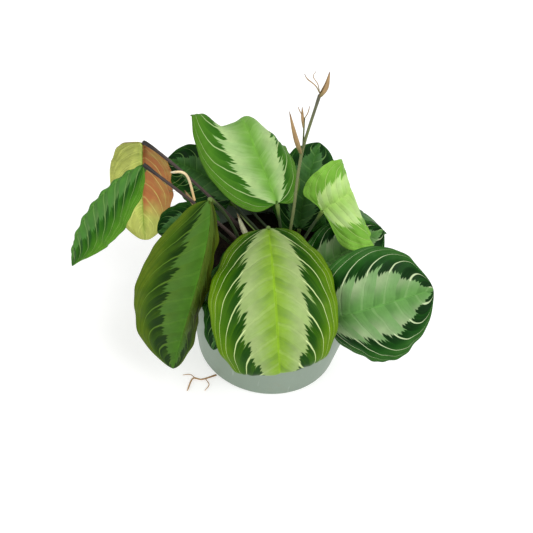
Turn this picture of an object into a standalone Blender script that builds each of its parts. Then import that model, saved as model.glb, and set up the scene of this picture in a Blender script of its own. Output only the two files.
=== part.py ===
"""A prayer plant (Maranta) in a 12 cm grower's pot.

Metres, +Z up. The origin is the centre of the pot's base, on the surface it stands on, and the
front of the plant faces -Y. Every leaf blade, leaf stalk, flower part, the soil and the pot is
an object of its own. Places and sizes in the tables below are millimetres.
"""

import math

import bmesh
import bpy
import numpy as np
from mathutils import Vector

MM = 0.001
GAP = 0.3

# Pot: a tapered, thin-walled pot with a collar at the rim.
POT_HEIGHT = 82
RIM_RADIUS = 60
BASE_RADIUS = 46
WALL = 1.6
FLOOR = 3
COLLAR_HEIGHT = 9
COLLAR_STEP = 1.2
DRAIN_COUNT = 8
DRAIN_RADIUS = 3.5
DRAIN_CIRCLE = 36
POT_SIDES = 64

# Soil: fills the pot to a little below the rim, clear of the wall, with a worn-down edge.
SOIL_TOP = 68
SOIL_SIDES = 48
SOIL_CLEARANCE = 0.9
SOIL_EDGE_WIDTH = 2.4
SOIL_EDGE_DROP = 2

# Leaves: blade thickness; rows along a blade and columns across each half; the stalk's radius,
# the gap between its end and its blade, how far it runs straight from the blade, and how far it
# rises straight from the soil as a share of its span.
BLADE = 1.0
ROWS = 11
COLUMNS = 4
STALK_RADIUS = 1.2
SOCKET = 1.3
NECK = 12
RISE = 0.45

# The shape all blades share, as fractions of the blade's length: where the first and last rows
# lie, where the blunt tip starts and how much narrower it gets, how far the lobes reach, how
# sharply a half folds at the rib, and where the fold starts to change towards the tip.
FIRST_ROW = 0.02
TIP_START = 0.84
TIP_TAPER = 0.3
LOBE_REACH = 0.07
FOLD_SHARPNESS = 8
FOLD_TIP = 0.75
CURL_STEPS = 24

# Each leaf: the four control points of its midrib, from the stalk to the tip; the way its upper
# side faces; the half widths either side of the rib; where its stalk stands in the soil; and how
# it bends. "neck" is the way from the blade back into its stalk, "neck_length" and "rise" are
# how far the stalk holds that way and rises from the soil, "lobe" is how far the blade
# reaches back past its stalk, and "outline" is (where it is widest, how full its ends are).
# "fold" bends a half blade at the rib and "curl" bends it evenly across, in degrees, as
# (one side, other side); "fold_tip" adds to fold towards the tip. A "bend" turns the blade over
# a line across it: (angle of the line, distance from the stalk, radius, degrees).
LEAVES = {
    "leaf_front": {
        "rib": [(-9, -8, 111), (-4, -49, 125), (4, -94, 122), (12, -84, 48)],
        "face": (0, -7, 7), "half_widths": (38, 35), "root": (0, -14),
        "lobe": 6, "curl": (-22, -22), "bend": (9, 101, 9, -110),
        "colour": (0.23, 0.42, 0.03),
    },
    "leaf_left": {
        "rib": [(-43, -24, 141), (-38, -43, 126), (-45, -63, 108), (-54, -66, 40)],
        "face": (-1, -7, 7), "half_widths": (34, 16), "root": (-21, -4), "lobe": 2,
        "fold": (0, -64), "fold_tip": (0, 40), "curl": (-8, -20), "outline": (1.15, 0.44),
        "colour": (0.07, 0.17, 0.02),
    },
    "leaf_top": {
        "rib": [(-6, 0, 124), (-18, 30, 126), (-37, 62, 140), (-56, 80, 170)],
        "face": (0, -7, 7), "half_widths": (27, 34), "root": (1, 2),
        "lobe": 5, "curl": (-55, -12), "bend": (-33, 42, 11, -100),
        "colour": (0.11, 0.30, 0.04),
    },
    "leaf_far_left": {
        "rib": [(-86, 4, 136), (-109, 5, 118), (-132, -4, 83), (-126, -16, 63)],
        "face": (-7, -5, 3), "half_widths": (22, 27), "root": (-15, 1),
        "neck": (20, -6, -10), "neck_length": 28, "rise": 0.17,
        "lobe": 2, "fold": (-75, -5), "curl": (-10, -20),
        "colour": (0.04, 0.25, 0.03),
    },
    "leaf_withered": {
        "rib": [(-89, 22, 137), (-93, 42, 106), (-93, 40, 74), (-89, 30, 48)],
        "face": (1, 9, 3), "half_widths": (21, 21), "root": (-12, 8),
        "neck": (10, -10, 6), "neck_length": 16, "rise": 0.17,
        "lobe": 2, "curl": (-20, -20), "outline": (1.0, 0.42),
        "colour": (0.42, 0.36, 0.06),
    },
    "leaf_right_upper": {
        "rib": [(21, 1, 122), (27, -1, 132), (36, 4, 137), (50, 13, 143)],
        "face": (1, -7, 6), "half_widths": (34, 22), "root": (7, -7),
        "curl": (12, 12), "outline": (0.8, 0.38), "bend": (-11, 13.3, 9, -85),
        "colour": (0.27, 0.50, 0.08),
    },
    "leaf_right": {
        "rib": [(32, -52, 86), (43, -63, 108), (62, -54, 109), (88, -40, 112)],
        "face": (2, -7, 6), "half_widths": (34, 34), "root": (13, -14), "neck": (-6, 9, 0),
        "curl": (-12, -12), "outline": (1.0, 0.5), "bend": (0, 68, 6, -110),
        "colour": (0.05, 0.23, 0.03),
    },
    "leaf_right_mid": {
        "rib": [(18, -10, 80), (29, -12, 93), (44, -2, 101), (59, 5, 110)],
        "face": (1, -7, 7), "half_widths": (24, 20), "root": (15, 3),
        "curl": (-15, -15),
        "colour": (0.02, 0.12, 0.02),
    },
    "leaf_back_right": {
        "rib": [(10, 21, 86), (8, 27, 102), (12, 46, 115), (15, 64, 122)],
        "face": (0, -7, 7), "half_widths": (22, 22), "root": (8, 9),
        "curl": (-15, -15),
        "colour": (0.02, 0.14, 0.02),
    },
    "leaf_back_left": {
        "rib": [(-34, 24, 100), (-46, 34, 107), (-63, 44, 105), (-79, 48, 104)],
        "face": (0, -7, 7), "half_widths": (20, 20), "root": (-8, 14),
        "curl": (-15, -15),
        "colour": (0.05, 0.19, 0.06),
    },
    "leaf_left_mid": {
        "rib": [(-43, 3, 95), (-52, 4, 97), (-65, 2, 96), (-75, -4, 90)],
        "face": (0, -7, 7), "half_widths": (13, 14), "root": (-25, 3),
        "curl": (-15, -15),
        "colour": (0.02, 0.12, 0.02),
    },
    "leaf_front_left": {
        "rib": [(-22, -13, 100), (-27, -34, 103), (-26, -60, 97), (-31, -69, 67)],
        "face": (-5, -8, 3), "half_widths": (17, 8), "root": (-10, -22),
        "lobe": 4, "curl": (-15, -15), "outline": (1.0, 0.42),
        "colour": (0.01, 0.10, 0.02),
    },
    "leaf_rear": {
        "rib": [(0, 36, 88), (4, 62, 98), (16, 90, 84), (22, 104, 52)],
        "face": (0, 2, 9), "half_widths": (29, 29), "root": (4, 15),
        "curl": (-15, -15),
        "colour": (0.07, 0.22, 0.04),
    },
    "leaf_rear_right": {
        "rib": [(32, 24, 86), (44, 44, 94), (55, 60, 78), (60, 67, 50)],
        "face": (3, 3, 9), "half_widths": (21, 21), "root": (14, 12),
        "curl": (-15, -15),
        "colour": (0.05, 0.20, 0.04),
    },
    "leaf_rear_left": {
        "rib": [(-24, 34, 92), (-36, 60, 100), (-48, 84, 80), (-52, 92, 48)],
        "face": (-3, 3, 9), "half_widths": (27, 27), "root": (-2, 19),
        "curl": (-15, -15),
        "colour": (0.06, 0.20, 0.04),
    },
}

# Thin round pieces: points along the middle line, and the radius at each end.
FLOWER_STALK = [(6, -2, SOIL_TOP + GAP), (4, -7, 98), (4, -3, 124), (4, 15, 151), (9, 26, 185)]
TWIGS = {
    "flower_stalk": (FLOWER_STALK, 1.1, 0.7, (0.30, 0.28, 0.12)),
    "bract_lower": ([(2.8, 14, 153), (-3, 13, 166), (-6, 13, 180)], 1.1, 0.5, (0.55, 0.36, 0.16)),
    "flower_side_stalk": ([(4.4, 17.2, 152.6), (3.4, 21, 161), (2.6, 24, 169)], 0.6, 0.4,
                          (0.6, 0.55, 0.3)),
    "bract_top": ([(9.2, 26.2, 185.8), (12, 28, 191), (12, 28, 199)], 1.1, 0.4, (0.48, 0.34, 0.18)),
    "dry_stem": ([(-54.8, 2.5, 115.6), (-59, 6, 127), (-63, 6, 132), (-70, 8, 129)], 0.9, 0.7,
                 (0.8, 0.68, 0.42)),
    "stray_root": ([(-29.4, -36.6, 1.2), (-38, -42, 1.6), (-44, -42, 1.0), (-46, -52, 0.9)], 0.8, 0.5,
                   (0.5, 0.32, 0.15)),
}

POT_COLOUR = (0.42, 0.50, 0.45)
SOIL_COLOUR = (0.05, 0.03, 0.015)
STALK_COLOUR = (0.10, 0.07, 0.04)


def clear_scene():
    for item in list(bpy.data.objects):
        bpy.data.objects.remove(item, do_unlink=True)


def add_material(item, colour, roughness):
    material = bpy.data.materials.new(item.name)
    material.use_nodes = True
    shader = material.node_tree.nodes["Principled BSDF"]
    shader.inputs["Base Color"].default_value = (*colour, 1.0)
    shader.inputs["Roughness"].default_value = roughness
    shader.inputs["Metallic"].default_value = 0.0
    item.data.materials.append(material)


def add_object(name, data, colour, roughness):
    item = bpy.data.objects.new(name, data)
    bpy.context.scene.collection.objects.link(item)
    add_material(item, colour, roughness)
    return item


def add_mesh(name, points, faces, colour, roughness):
    """A mesh object from points in millimetres, its faces turned outwards."""
    mesh = bpy.data.meshes.new(name)
    mesh.from_pydata([tuple(MM * float(c) for c in p) for p in points], [], faces)
    shape = bmesh.new()
    shape.from_mesh(mesh)
    bmesh.ops.recalc_face_normals(shape, faces=shape.faces)
    shape.to_mesh(mesh)
    shape.free()
    mesh.shade_smooth()
    return add_object(name, mesh, colour, roughness)


def turned_mesh(name, profile, sides, colour, roughness):
    """A closed solid turned about +Z from an open (radius, z) profile with both ends on the axis."""
    points = []
    rings = []
    for radius, z in profile:
        if radius == 0:
            rings.append([len(points)] * sides)
            points.append((0, 0, z))
            continue
        rings.append(list(range(len(points), len(points) + sides)))
        for k in range(sides):
            angle = 2 * math.pi * k / sides
            points.append((radius * math.cos(angle), radius * math.sin(angle), z))
    faces = []
    for low, high in zip(rings, rings[1:]):
        for k in range(sides):
            corners = [low[k], low[(k + 1) % sides], high[(k + 1) % sides], high[k]]
            faces.append(list(dict.fromkeys(corners)))
    return add_mesh(name, points, faces, colour, roughness)


def wall_radius(z):
    """Outer radius of the plain tapered wall at height z."""
    return BASE_RADIUS + (RIM_RADIUS - COLLAR_STEP - BASE_RADIUS) * z / POT_HEIGHT


def make_pot():
    collar_foot = POT_HEIGHT - COLLAR_HEIGHT
    profile = [
        (0, 0),
        (BASE_RADIUS - 1, 0),
        (wall_radius(1), 1),
        (wall_radius(collar_foot), collar_foot),
        (wall_radius(collar_foot) + COLLAR_STEP, collar_foot + 0.6),
        (RIM_RADIUS, POT_HEIGHT - 0.8),
        (RIM_RADIUS - 0.8, POT_HEIGHT),
        (RIM_RADIUS - COLLAR_STEP - WALL, POT_HEIGHT),
        (wall_radius(FLOOR) - WALL, FLOOR),
        (0, FLOOR),
    ]
    pot = turned_mesh("pot", profile, POT_SIDES, POT_COLOUR, 0.4)
    drill = bmesh.new()
    for k in range(DRAIN_COUNT):
        made = bmesh.ops.create_cone(
            drill, cap_ends=True, segments=16, depth=4 * FLOOR * MM,
            radius1=DRAIN_RADIUS * MM, radius2=DRAIN_RADIUS * MM,
        )
        angle = 2 * math.pi * (k + 0.5) / DRAIN_COUNT
        centre = Vector((math.cos(angle), math.sin(angle), 0)) * DRAIN_CIRCLE * MM
        bmesh.ops.translate(drill, verts=made["verts"], vec=centre)
    cutter_mesh = bpy.data.meshes.new("drain_cutter")
    drill.to_mesh(cutter_mesh)
    drill.free()
    cutter = bpy.data.objects.new("drain_cutter", cutter_mesh)
    bpy.context.scene.collection.objects.link(cutter)
    cutter.hide_render = True
    cutter.display_type = "WIRE"
    holes = pot.modifiers.new("drain_holes", "BOOLEAN")
    holes.object = cutter


def make_soil():
    bottom = FLOOR + GAP
    edge = SOIL_TOP - SOIL_EDGE_DROP
    side = wall_radius(edge) - WALL - SOIL_CLEARANCE
    profile = [
        (0, bottom),
        (wall_radius(bottom) - WALL - SOIL_CLEARANCE, bottom),
        (side, edge),
        (side - SOIL_EDGE_WIDTH, SOIL_TOP),
        (0, SOIL_TOP),
    ]
    turned_mesh("soil", profile, SOIL_SIDES, SOIL_COLOUR, 0.95)


def unit(vectors):
    return vectors / np.linalg.norm(vectors, axis=-1, keepdims=True)


def bezier(control, count):
    """Points along the cubic curve of four control points."""
    t = np.linspace(0, 1, count)[:, None]
    a, b, c, d = np.array(control, float)
    return (1 - t) ** 3 * a + 3 * (1 - t) ** 2 * t * b + 3 * (1 - t) * t**2 * c + t**3 * d


def leaf_surface(leaf, rows, columns):
    """The upper surface of a blade, as a grid of points from stalk to tip and edge to edge."""
    rib = bezier(leaf["rib"], 201)
    run = np.r_[0, np.cumsum(np.linalg.norm(np.diff(rib, axis=0), axis=1))]
    length = run[-1]
    ahead = unit(np.gradient(rib, axis=0))

    # The flat outline: an oval with a blunt tip, whose lobes reach back past the stalk.
    along = (1 - np.cos(np.pi * np.linspace(FIRST_ROW, 1 - FIRST_ROW, rows + 1))) / 2
    u, v = np.meshgrid(along, np.linspace(-1, 1, 2 * columns + 1), indexing="ij")
    across = abs(v)
    right = v > 0
    skew, fullness = leaf.get("outline", (0.92, 0.55))
    blunt = 1 - TIP_TAPER * np.clip((u - TIP_START) / (1 - TIP_START), 0, 1) ** 2
    half = np.where(right, leaf["half_widths"][1], leaf["half_widths"][0])
    half = half * np.sin(np.pi * u**skew) ** fullness * blunt
    reach = u / LOBE_REACH
    y = length * u - leaf.get("lobe", 5) * reach * np.exp(1 - reach) * across**2

    # Each half blade folds at the rib and curls across.
    def sided(key):
        first, second = leaf.get(key, (0, 0))
        return np.radians(np.where(right, second, first))

    fold = sided("fold") + sided("fold_tip") * np.clip((u - FOLD_TIP) / (1 - FOLD_TIP), 0, 1)
    x = np.zeros_like(u)
    z = np.zeros_like(u)
    for k in range(CURL_STEPS):
        part = (k + 0.5) / CURL_STEPS * across
        turn = fold * np.clip(FOLD_SHARPNESS * part, 0, 1) + sided("curl") * part
        x += np.cos(turn) * half * across / CURL_STEPS
        z += np.sin(turn) * half * across / CURL_STEPS
    x = np.where(right, x, -x)

    # A part of the blade may turn over a line across it.
    if "bend" in leaf:
        line, start, radius, most = leaf["bend"]
        c, s = math.cos(math.radians(line)), math.sin(math.radians(line))
        limit = abs(math.radians(most))
        past = np.clip(y * c + x * s - start, 0, None)
        turn = np.minimum(past / radius, limit)
        rest = np.clip(past - radius * limit, 0, None)
        shift = radius * np.sin(turn) + rest * np.cos(turn) - past
        z += math.copysign(1, most) * (radius * (1 - np.cos(turn)) + rest * np.sin(turn))
        y += shift * c
        x += shift * s

    # Lay the shape along the midrib.
    on_rib = np.clip(y, 0, length)
    centre = np.stack([np.interp(on_rib, run, rib[:, k]) for k in range(3)], -1)
    tangent = unit(np.stack([np.interp(on_rib, run, ahead[:, k]) for k in range(3)], -1))
    sideways = unit(np.cross(np.array(leaf["face"], float), rib[-1] - rib[0]))
    side = unit(sideways - (tangent @ sideways)[..., None] * tangent)
    normal = np.cross(tangent, side)
    return centre + tangent * (y - on_rib)[..., None] + side * x[..., None] + normal * z[..., None]


def make_leaf(name, leaf):
    """A blade of even thickness: its upper surface, its under surface and the edge between."""
    upper = leaf_surface(leaf, ROWS, COLUMNS)
    down = unit(np.cross(np.gradient(upper, axis=1), np.gradient(upper, axis=0)))
    under = upper + down * BLADE
    across = upper.shape[1]
    points = np.vstack([upper.reshape(-1, 3), under.reshape(-1, 3)])
    count = len(points) // 2
    faces = []
    for i in range(upper.shape[0] - 1):
        for j in range(across - 1):
            a = i * across + j
            quad = [a, a + 1, a + across + 1, a + across]
            faces.append(quad)
            faces.append([count + k for k in reversed(quad)])
    rim = list(range(across))
    rim += [i * across + across - 1 for i in range(1, upper.shape[0])]
    rim += [count - 1 - j for j in range(1, across)]
    rim += [i * across for i in range(upper.shape[0] - 2, 0, -1)]
    for a, b in zip(rim, rim[1:] + rim[:1]):
        faces.append([a, b, count + b, count + a])
    add_mesh(name, points, faces, leaf["colour"], 0.35)


def make_rod(name, points, first_radius, last_radius, colour, roughness=0.5):
    """A tapering round rod along points in millimetres, closed at both ends."""
    curve = bpy.data.curves.new(name, "CURVE")
    curve.dimensions = "3D"
    curve.bevel_depth = MM
    curve.bevel_resolution = 1
    curve.use_fill_caps = True
    line = curve.splines.new("POLY")
    line.points.add(len(points) - 1)
    for k, point in enumerate(points):
        line.points[k].co = (*(MM * float(c) for c in point), 1)
        line.points[k].radius = first_radius + (last_radius - first_radius) * k / (len(points) - 1)
    add_object(name, curve, colour, roughness)


def make_leaf_stalk(name, leaf):
    """A stalk that rises from the soil and bends over into the base of its blade."""
    base = np.array(leaf["rib"][0], float)
    ahead = unit(np.array(leaf["rib"][1], float) - base)
    foot = np.array([*leaf["root"], SOIL_TOP + GAP], float)
    rise = leaf.get("rise", RISE) * np.linalg.norm(base - foot)
    neck = leaf.get("neck_length", NECK)
    arrival = -unit(np.array(leaf.get("neck", -ahead - [0, 0, 1]), float))
    end = base - SOCKET * arrival
    route = bezier([foot, foot + [0, 0, rise], base - neck * arrival, end], 9)
    make_rod(name, route, STALK_RADIUS, STALK_RADIUS, STALK_COLOUR)


def smooth_route(points, per_span=4):
    """A smooth curve through the given points."""
    p = [np.array(q, float) for q in points]
    p = [2 * p[0] - p[1], *p, 2 * p[-1] - p[-2]]
    route = []
    for a, b, c, d in zip(p, p[1:], p[2:], p[3:]):
        for k in range(per_span):
            t = k / per_span
            route.append(0.5 * (2 * b + (c - a) * t + (2 * a - 5 * b + 4 * c - d) * t**2
                                + (3 * b - a - 3 * c + d) * t**3))
    return [*route, p[-2]]


def main():
    clear_scene()
    make_pot()
    make_soil()
    for name, leaf in LEAVES.items():
        make_leaf(name, leaf)
        make_leaf_stalk(name.replace("leaf", "stalk", 1), leaf)
    for name, (points, first_radius, last_radius, colour) in TWIGS.items():
        make_rod(name, smooth_route(points), first_radius, last_radius, colour)


main()
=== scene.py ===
"""Looks for a potted prayer plant: leaf blades, their stalks, flower stalk, soil and pot."""

import math
import random
from functools import partialmethod

import bmesh
import bpy
import numpy as np
from mathutils import Matrix, Vector


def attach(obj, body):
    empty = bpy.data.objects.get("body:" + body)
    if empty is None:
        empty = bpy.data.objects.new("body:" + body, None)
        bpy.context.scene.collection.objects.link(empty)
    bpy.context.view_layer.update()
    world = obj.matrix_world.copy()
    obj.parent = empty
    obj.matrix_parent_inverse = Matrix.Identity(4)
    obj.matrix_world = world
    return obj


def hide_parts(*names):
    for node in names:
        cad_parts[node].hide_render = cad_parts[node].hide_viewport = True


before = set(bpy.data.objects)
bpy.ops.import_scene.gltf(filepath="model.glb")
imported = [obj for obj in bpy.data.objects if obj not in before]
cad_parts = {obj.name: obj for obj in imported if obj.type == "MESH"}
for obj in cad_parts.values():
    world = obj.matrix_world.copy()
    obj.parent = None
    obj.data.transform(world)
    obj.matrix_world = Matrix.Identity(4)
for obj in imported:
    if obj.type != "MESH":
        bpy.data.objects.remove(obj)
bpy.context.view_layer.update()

MM = 0.001

# View: how far it looks down and leans in degrees, what it centres on in millimetres, how far off
# it stands in metres, and its lens.
VIEW_DOWN = 46
VIEW_LEAN = 8
VIEW_CENTRE = (-7, 0, 70)
VIEW_DISTANCE = 0.6
LENS = 65

# Light and floor, in metres. Each lamp: its place, size and power.
SKY_STRENGTH = 0.75
LAMP_TARGET = (0, 0, 0.08)
LAMPS = {
    "key": ((0.55, -0.5, 1.1), 0.8, 11),
    "fill": ((-0.8, -0.5, 0.6), 0.9, 3),
}
FLOOR_REACH = 3.0
FLOOR_GREY = (0.6, 0.6, 0.6, 1)
FLOOR_GLOW = (1, 1, 0.99, 1)
GLOW_STRENGTH = 0.5

# Pot and soil, in millimetres, as the CAD has them.
POT_HEIGHT = 82
RIM_RADIUS = 60
BASE_RADIUS = 46
WALL = 1.6
FLOOR = 3
COLLAR_HEIGHT = 9
COLLAR_STEP = 1.2
DRAIN_COUNT = 8
DRAIN_RADIUS = 3.5
DRAIN_CIRCLE = 36
SOIL_TOP = 68
SOIL_EDGE_WIDTH = 2.4
SOIL_EDGE_DROP = 2
SOIL_CLEARANCE = 0.9
GAP = 0.3

# Finer measures. The foot ring: how far inside the base's edge it starts to drop, stands and
# ends. The soil is turned like the pot, so it has pin-pricks where the pot has holes. The
# drill's depth is in metres. Edges bent past SHARP_BEND look sharp.
FOOT_RISE = 0.6
FOOT_RING = (6, 4.5, 1)
COLLAR_SLOPE = 0.6
LIP_DROP = 1.4
LIP_INSET = 0.4
CORNER_RADIUS = 0.6
CORNER_STEPS = 5
POT_SIDES = 192
POT_SPACING = 4
SOIL_SIDES = 180
SOIL_SPACING = 8
SOIL_TOP_SPACING = 0.8
SOIL_RELIEF = 2.2
PIN_PRICK = 0.01
DRILL_DEPTH = 0.02
SHARP_BEND = 0.6
FACING_UP = 0.6
FULL_TURNS = (6.28, 6.28, 6.28)

# Leaf stalks: gap to the blade, straight run at the blade and straight rise as a share of the
# way; radii at the sheath, the stem and the top; where along the stalk the sheath ends and the
# swelling starts; and how lumpy all stems are.
SOCKET = 1.3
NECK = 12
RISE = 0.45
PETIOLE_RADII = (1.75, 0.95, 1.3)
PETIOLE_ENDS = (0.5, 0.88)
PETIOLE_POINTS = 70
STEM_LUMPS = 0.22

# Blades: thickness, rows along and columns across each half, and the outline they all share.
BLADE = 0.4
ROWS = 150
COLUMNS = 34
FIRST_ROW = 0.004
TIP_START = 0.84
TIP_TAPER = 0.3
LOBE_REACH = 0.07
FOLD_SHARPNESS = 8
FOLD_TIP = 0.75
CURL_STEPS = 24

# What most leaves do: the way they face and how each half curls.
FACE = (0, -7, 7)
CURL = (-15, -15)

# Relief of a blade in millimetres, where the leaf has no figure of its own, and the shares of its
# length over which the relief and the midrib fade out.
QUILT = 0.55
WAVE = 0.9
WAVES_ALONG = 3.3
GROOVE_DEPTH = 0.7
GROOVE_WIDTH = 1.4
KEEL_DEPTH = 1.1
RELIEF_FADE = 0.12
GROOVE_FADE = 0.3
KEEL_FADE = 0.8

# Blade pattern: vein measures in steps between side veins, band measures in shares of the half
# blade, where the tint of one half ends, and the depth of the bump in metres.
VEIN_WOBBLE = 0.35
VEIN_WIDTH = 0.088
VEIN_THINNING = 0.05
TEETH_PER_VEIN = 7.0
TOOTH_LENGTH = 0.13
TOOTH_CHANCE = 0.24
BAND_SWING = 0.12
BAND_TIP_TAPER = 0.6
BAND_FOOT_TAPER = 0.2
SECOND_END = (0.66, 0.86)
BUMP_BLADE = 0.00025


def paint(red, green, blue):
    """A linear colour from its 0-255 screen values."""
    levels = [c / 255 for c in (red, green, blue)]
    return (*(c / 12.92 if c <= 0.04045 else ((c + 0.055) / 1.055) ** 2.4 for c in levels), 1.0)


# Leaf finishes. Colours: the midrib, the feathered band beside it, the dark patches past it, the
# rest of the blade, its margin, the side veins, the under side, and a tint for one half. Numbers:
# that tint's strength (below 0 on the first half, else on the second), the side veins of a half,
# the band's width as a share of the half blade, how light the upper and the under side are, and
# how strongly midrib, band and veins show ("shown").
# The field and vein colours also serve as painted shade and painted light on one side of each step
# between side veins.
FINISHES = {
    "lime": dict(
        rib=(146, 192, 36), band=(172, 200, 122), patch=(26, 76, 0), field=(66, 118, 2),
        margin=(116, 156, 16), vein=(200, 218, 150), under=(150, 175, 90), veins=7.4, width=0.5,
        depth=0.6, under_depth=0.9, shown=(0.7, 1.0, 0.9)),
    "olive": dict(
        rib=(76, 130, 28), band=(84, 126, 48), patch=(22, 56, 0), field=(60, 98, 4),
        margin=(98, 122, 22), vein=(104, 142, 46), under=(120, 130, 60), second_side=(84, 84, 22),
        second=0.45, veins=7.0, width=0.46, depth=0.62, under_depth=0.8, shown=(0.5, 0.9, 0.5)),
    "bright": dict(
        rib=(104, 160, 48), band=(158, 190, 124), patch=(44, 96, 16), field=(74, 128, 28),
        margin=(78, 122, 32), vein=(196, 220, 152), under=(130, 165, 95), veins=6.2, width=0.5,
        depth=0.86, under_depth=0.9, shown=(0.3, 1.0, 0.7)),
    "fresh": dict(
        rib=(96, 156, 60), band=(88, 148, 66), patch=(26, 84, 4), field=(62, 124, 22),
        margin=(100, 160, 40), vein=(166, 200, 120), under=(130, 170, 80), veins=8.0, width=0.42,
        depth=0.64, under_depth=0.8, shown=(0.5, 0.7, 0.5)),
    "pale": dict(
        rib=(160, 200, 96), band=(180, 210, 136), patch=(104, 156, 50), field=(114, 166, 58),
        margin=(124, 176, 64), vein=(196, 222, 132), under=(170, 200, 130), veins=6.0, width=0.5,
        depth=0.88, under_depth=0.9, shown=(0.2, 0.9, 0.5)),
    "silver": dict(
        rib=(104, 162, 76), band=(134, 178, 112), patch=(4, 50, 2), field=(20, 84, 8),
        margin=(62, 114, 44), vein=(196, 214, 166), under=(130, 160, 110), veins=5.4, width=0.56,
        depth=0.6, under_depth=0.85, shown=(0.35, 1.0, 0.85)),
    "deep": dict(
        rib=(64, 118, 40), band=(86, 138, 76), patch=(10, 50, 8), field=(20, 72, 14),
        margin=(46, 98, 28), vein=(124, 168, 92), under=(110, 140, 90), veins=6.0, width=0.48,
        depth=0.66, under_depth=0.85, shown=(0.4, 0.8, 0.6)),
    "withered": dict(
        rib=(120, 150, 50), band=(150, 160, 70), patch=(120, 110, 40), field=(140, 140, 60),
        margin=(120, 100, 50), vein=(160, 150, 80), under=(210, 218, 112),
        second_side=(176, 112, 66), second=-0.95, veins=7.0, width=0.4, depth=0.9,
        under_depth=1.1, shown=(0.9, 0.3, 0.3)),
}

# Each leaf, in millimetres and degrees: "rib", its midrib's control points; "face", the way it
# faces; "root", where its stalk stands; "lobe", how far it reaches back past the stalk; "fold" at
# the midrib, and "fold_tip" more of it at the tip; "outline", its skew and fullness; "bend", the
# angle and place of a line it bends over, its radius and its turn. "neck", "neck_length" and
# "rise" steer the stalk. "swells" are rises and dents: where along and across they lie, how far
# they reach each way, and how high they stand.
LEAVES = {
    "leaf_front": dict(
        rib=[(-9, -8, 111), (-4, -49, 125), (4, -94, 122), (12, -84, 48)],
        half_widths=(38, 35), root=(0, -14), lobe=6, curl=(-22, -22), bend=(9, 101, 9, -110),
        finish="lime", slot="lime_leaf"),
    "leaf_left": dict(
        rib=[(-43, -24, 141), (-38, -43, 126), (-45, -63, 108), (-54, -66, 40)],
        face=(-1, -7, 7), half_widths=(34, 16), root=(-21, -4), lobe=2,
        fold=(0, -64), fold_tip=(0, 40), curl=(-8, -20), outline=(1.15, 0.44), finish="olive"),
    "leaf_top": dict(
        rib=[(-6, 0, 124), (-18, 30, 126), (-37, 62, 140), (-56, 80, 170)],
        half_widths=(27, 34), root=(1, 2), lobe=5, curl=(-55, -12), bend=(-33, 42, 11, -100),
        finish="bright",
        swells=[(0.68, 0.3, 0.16, 0.26, -6), (0.6, -0.14, 0.14, 0.2, 4.5),
                (0.48, -0.95, 0.16, 0.3, -7), (0.75, 1.0, 0.12, 0.22, -2)]),
    "leaf_far_left": dict(
        rib=[(-86, 4, 136), (-109, 5, 118), (-132, -4, 83), (-126, -16, 63)],
        face=(-7, -5, 3), half_widths=(22, 27), root=(-15, 1),
        neck=(20, -6, -10), neck_length=28, rise=0.17, lobe=2, fold=(-75, -5), curl=(-10, -20),
        finish="fresh", stem="purple_stem", quilt=1.1, wave=1.3),
    "leaf_withered": dict(
        rib=[(-89, 22, 137), (-93, 42, 106), (-93, 40, 74), (-89, 30, 48)],
        face=(1, 9, 3), half_widths=(21, 21), root=(-12, 8),
        neck=(10, -10, 6), neck_length=16, rise=0.17, lobe=2, curl=(-20, -20), outline=(1.0, 0.42),
        finish="withered", slot="withered_leaf", stem="purple_stem"),
    "leaf_right_upper": dict(
        rib=[(21, 1, 122), (27, -1, 132), (36, 4, 137), (50, 13, 143)],
        face=(1, -7, 6), half_widths=(34, 22), root=(7, -7),
        curl=(12, 12), outline=(0.8, 0.38), bend=(-11, 13.3, 9, -85),
        finish="pale", slot="pale_leaf"),
    "leaf_right": dict(
        rib=[(32, -52, 86), (43, -63, 108), (62, -54, 109), (88, -40, 112)],
        face=(2, -7, 6), half_widths=(34, 34), root=(13, -14), neck=(-6, 9, 0),
        curl=(-12, -12), outline=(1.0, 0.5), bend=(0, 68, 6, -110), finish="silver"),
    "leaf_right_mid": dict(
        rib=[(18, -10, 80), (29, -12, 93), (44, -2, 101), (59, 5, 110)],
        face=(1, -7, 7), half_widths=(24, 20), root=(15, 3), finish="silver"),
    "leaf_back_right": dict(
        rib=[(10, 21, 86), (8, 27, 102), (12, 46, 115), (15, 64, 122)],
        half_widths=(22, 22), root=(8, 9), finish="deep"),
    "leaf_back_left": dict(
        rib=[(-34, 24, 100), (-46, 34, 107), (-63, 44, 105), (-79, 48, 104)],
        half_widths=(20, 20), root=(-8, 14), finish="deep"),
    "leaf_left_mid": dict(
        rib=[(-43, 3, 95), (-52, 4, 97), (-65, 2, 96), (-75, -4, 90)],
        half_widths=(13, 14), root=(-25, 3), finish="deep"),
    "leaf_front_left": dict(
        rib=[(-22, -13, 100), (-27, -34, 103), (-26, -60, 97), (-31, -69, 67)],
        face=(-5, -8, 3), half_widths=(17, 8), root=(-10, -22),
        lobe=4, outline=(1.0, 0.42), finish="deep"),
    "leaf_rear": dict(
        rib=[(0, 36, 88), (4, 62, 98), (16, 90, 84), (22, 104, 52)],
        face=(0, 2, 9), half_widths=(29, 29), root=(4, 15), finish="silver"),
    "leaf_rear_right": dict(
        rib=[(32, 24, 86), (44, 44, 94), (55, 60, 78), (60, 67, 50)],
        face=(3, 3, 9), half_widths=(21, 21), root=(14, 12), finish="deep"),
    "leaf_rear_left": dict(
        rib=[(-24, 34, 92), (-36, 60, 100), (-48, 84, 80), (-52, 92, 48)],
        face=(-3, 3, 9), half_widths=(27, 27), root=(-2, 19), finish="bright"),
}


# ---- node helpers

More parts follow.
